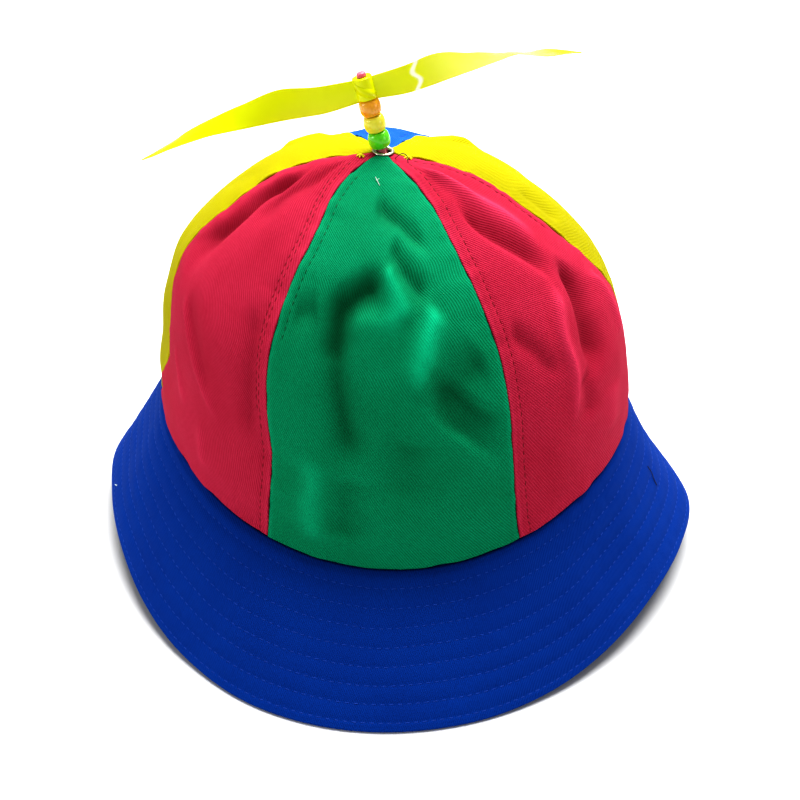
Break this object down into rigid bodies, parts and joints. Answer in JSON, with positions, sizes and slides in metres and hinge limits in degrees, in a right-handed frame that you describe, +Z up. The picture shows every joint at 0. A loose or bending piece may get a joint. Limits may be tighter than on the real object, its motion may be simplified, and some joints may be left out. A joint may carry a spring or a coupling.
{
  "type": "propeller bucket hat",
  "caption": "Child-style novelty bucket hat with coloured cloth gores, a stitched brim and a film propeller that spins on a beaded spindle.",
  "frame": {"origin": "on the floor, under the middle of the brim's outline, with the hat resting on its brim", "axes": "+Z up, the green front gore towards -Y, the viewer's right at +X"},
  "size_m": [0.2412, 0.2558, 0.199],
  "materials": {
    "green_twill": "cotton twill, matte",
    "red_twill": "cotton twill, matte",
    "yellow_twill": "cotton twill, matte",
    "blue_twill": "cotton twill, matte",
    "brim_twill": "cotton twill in rows of stitching, matte",
    "eyelet_metal": "plated, satin",
    "spindle_pink": "dyed, satin",
    "bead_green": "glossy",
    "bead_yellow": "pearly gloss",
    "bead_orange": "glossy",
    "yellow_film": "clear tinted film, glossy"
  },
  "bodies": {
    "hat": {"panel_green_front": "green_twill", "panel_red_left": "red_twill", "panel_red_right": "red_twill", "panel_yellow_left": "yellow_twill", "panel_yellow_right": "yellow_twill", "panel_blue_back": "blue_twill", "brim": "brim_twill", "grommet": "eyelet_metal", "spindle": "spindle_pink", "bead_green": "bead_green", "bead_yellow": "bead_yellow", "bead_orange": "bead_orange"},
    "propeller": {"propeller": "yellow_film"}
  },
  "joints": [
    {"name": "propeller_spin", "type": "hinge", "parent": "hat", "child": "propeller", "pos_m": [-0.02023, 0.00438, 0.18238], "axis": [-0.2907, 0, 0.9568], "continuous": true}
  ]
}
